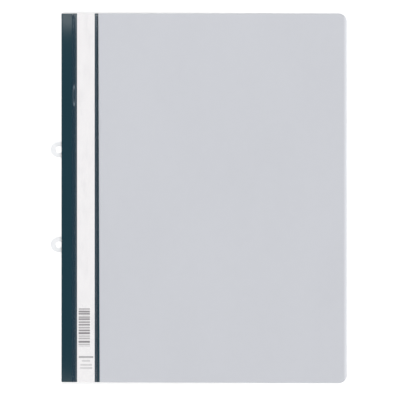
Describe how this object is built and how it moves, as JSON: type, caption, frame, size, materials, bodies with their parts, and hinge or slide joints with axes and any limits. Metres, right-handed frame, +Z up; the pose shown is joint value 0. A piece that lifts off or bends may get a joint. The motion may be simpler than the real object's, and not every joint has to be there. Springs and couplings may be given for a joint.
{
  "type": "fastener folder",
  "caption": "Flat plastic fastener folder with an opening front cover, a label pocket along the spine, filing eyelets and a prong fastener inside.",
  "frame": {"origin": "middle of the back cover's underside, on the table", "axes": "+X from the spine to the fore edge, +Y up the page, +Z up from the table through the closed folder"},
  "size_m": [0.2493, 0.3111, 0.0036],
  "materials": {
    "dark_film": "satin petrol-blue film with a fine grain",
    "grey_film": "matt light grey film",
    "clear_film": "clear glossy film",
    "label_paper": "white uncoated paper",
    "eyelet_plastic": "translucent white plastic",
    "prong_metal": "tinned steel strip",
    "bar_plastic": "white moulded plastic"
  },
  "bodies": {
    "back": {"back_cover": "dark_film", "eyelet_strip": "eyelet_plastic", "prong_strip": "prong_metal", "fastener_panel": "dark_film", "compressor_bar": "bar_plastic"},
    "cover": {"front_flap": "dark_film", "front_sheet": "grey_film", "label_pocket": "clear_film", "label_strip": "label_paper"}
  },
  "joints": [
    {"name": "cover_fold", "type": "hinge", "parent": "back", "child": "cover", "pos_m": [-0.12005, 0, 0.0024], "axis": [0, -1, 0], "range_deg": [0, 180]}
  ]
}
